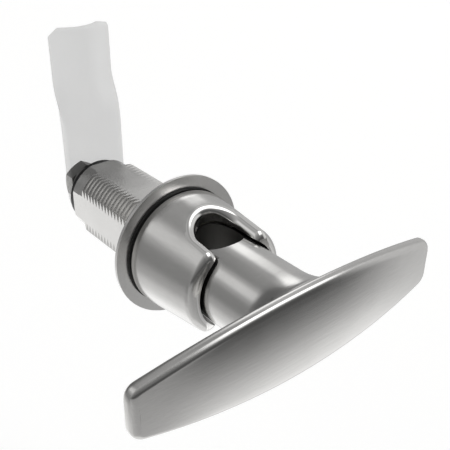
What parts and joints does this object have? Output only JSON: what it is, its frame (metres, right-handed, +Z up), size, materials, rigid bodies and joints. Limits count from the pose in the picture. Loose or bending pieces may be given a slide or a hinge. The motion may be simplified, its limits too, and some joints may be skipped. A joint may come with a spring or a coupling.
{
  "type": "t-handle compression latch",
  "caption": "Padlockable T-handle quarter-turn compression latch: threaded body with flange and cup, bowed T-bar on a round stem, and a cam behind the panel whose tip curls back.",
  "frame": {"origin": "on the latch's axis, in the plane of the flange's back face, which rests on the panel's front", "axes": "+Y along the latch's axis, from the handle through the panel to the cam; +X along the closed T-bar, to the right as seen from the front; +Z up, the way the closed cam points"},
  "size_m": [0.0838, 0.0933, 0.0636],
  "materials": {
    "handle_steel": "fine brushed stainless steel",
    "body_steel": "machined stainless steel",
    "cam_steel": "pale satin stainless steel",
    "fastener_steel": "plain stainless steel",
    "inner_steel": "machined steel",
    "spring_steel": "dark spring steel",
    "bush_bronze": "plain bronze",
    "bearing_plastic": "natural bearing plastic",
    "spacer_plastic": "black plastic",
    "seal_rubber": "black rubber"
  },
  "bodies": {
    "housing": {"threaded_body": "body_steel", "cup_housing": "handle_steel", "cup_seal": "seal_rubber", "cup_pins": "inner_steel", "handle_bush": "bearing_plastic", "thrust_washer": "bearing_plastic", "helix_sleeve": "inner_steel", "sleeve_pin": "inner_steel", "rear_bush": "bush_bronze", "shaft_seal": "seal_rubber", "retaining_ring": "spring_steel"},
    "handle": {"t_handle": "handle_steel", "stem_seal": "seal_rubber"},
    "shaft": {"drive_shaft": "inner_steel", "follower_pin": "inner_steel", "spring_clip": "spring_steel", "return_spring": "spring_steel", "cam_spacer": "spacer_plastic", "cam": "cam_steel", "cam_washer": "fastener_steel", "lock_washer": "fastener_steel", "cam_screw": "fastener_steel"}
  },
  "joints": [
    {"name": "handle_turn", "type": "hinge", "parent": "housing", "child": "handle", "pos_m": [0, 0, 0], "axis": [0, -1, 0], "range_deg": [0, 90]},
    {"name": "shaft_slide", "type": "slide", "parent": "handle", "child": "shaft", "axis": [0, 1, 0], "range_m": [0, 0.0045], "deforming": ["return_spring"]}
  ],
  "couplings": [
    {"joint": "shaft_slide", "follows": "handle_turn", "m_per_rad": 0.002864}
  ]
}
